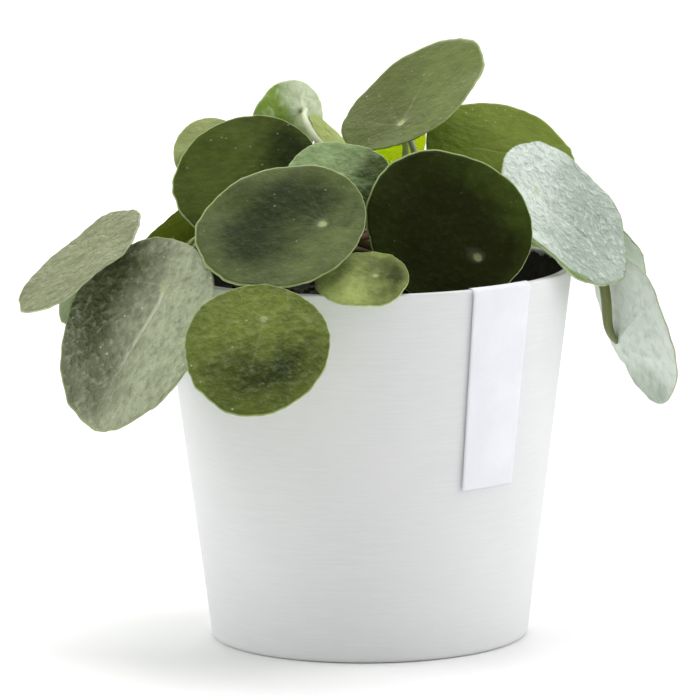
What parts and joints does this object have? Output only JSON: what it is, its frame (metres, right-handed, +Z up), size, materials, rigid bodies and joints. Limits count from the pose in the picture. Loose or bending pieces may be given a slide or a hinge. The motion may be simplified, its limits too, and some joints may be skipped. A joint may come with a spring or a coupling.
{
  "type": "potted plant",
  "caption": "Potted Chinese money plant: round shield-like leaves on slender stalks round a short trunk, in a tapered pot with a bare strip of label tape over its rim.",
  "frame": {"origin": "centre of the pot's underside, on the surface that it stands on", "axes": "+Z up along the pot's axis; -Y towards the side with the tape and the leaves that droop over the rim; +X to the right as seen from that side"},
  "size_m": [0.238, 0.2188, 0.2144],
  "materials": {
    "pot_wall": "satin, light grey with fine level streaks",
    "potting_soil": "dark, crumbly and moist",
    "trunk_bark": "matte, ringed with leaf scars",
    "label_tape": "matte white",
    "blade_dark": "smooth, deep green",
    "blade_green": "smooth, mid green",
    "blade_bright": "smooth, bright yellow green",
    "blade_silvery": "satin, silvery green",
    "stalk": "smooth, pale olive to reddish brown"
  },
  "bodies": {
    "root": {"pot": "pot_wall", "soil": "potting_soil", "trunk": "trunk_bark", "label_tape": "label_tape", "leaf_01": "blade_silvery", "stalk_01": "stalk", "leaf_02": "blade_silvery", "stalk_02": "stalk", "leaf_03": "blade_silvery", "stalk_03": "stalk", "leaf_04": "blade_bright", "stalk_04": "stalk", "leaf_05": "blade_dark", "stalk_05": "stalk", "leaf_06": "blade_dark", "stalk_06": "stalk", "leaf_07": "blade_bright", "stalk_07": "stalk", "leaf_08": "blade_silvery", "stalk_08": "stalk", "leaf_09": "blade_bright", "stalk_09": "stalk", "leaf_10": "blade_dark", "stalk_10": "stalk", "leaf_11": "blade_green", "stalk_11": "stalk", "leaf_12": "blade_bright", "stalk_12": "stalk", "leaf_13": "blade_green", "stalk_13": "stalk", "leaf_14": "blade_silvery", "stalk_14": "stalk", "leaf_15": "blade_dark", "stalk_15": "stalk", "leaf_16": "blade_bright", "stalk_16": "stalk", "leaf_17": "blade_silvery", "stalk_17": "stalk", "leaf_18": "blade_silvery", "stalk_18": "stalk", "leaf_19": "blade_green", "stalk_19": "stalk", "leaf_20": "blade_green", "stalk_20": "stalk", "leaf_21": "blade_green", "stalk_21": "stalk", "leaf_22": "blade_green", "stalk_22": "stalk", "leaf_23": "blade_green", "stalk_23": "stalk", "leaf_24": "blade_green", "stalk_24": "stalk", "leaf_25": "blade_green", "stalk_25": "stalk", "leaf_26": "blade_green", "stalk_26": "stalk", "leaf_27": "blade_green", "stalk_27": "stalk"}
  },
  "joints": []
}
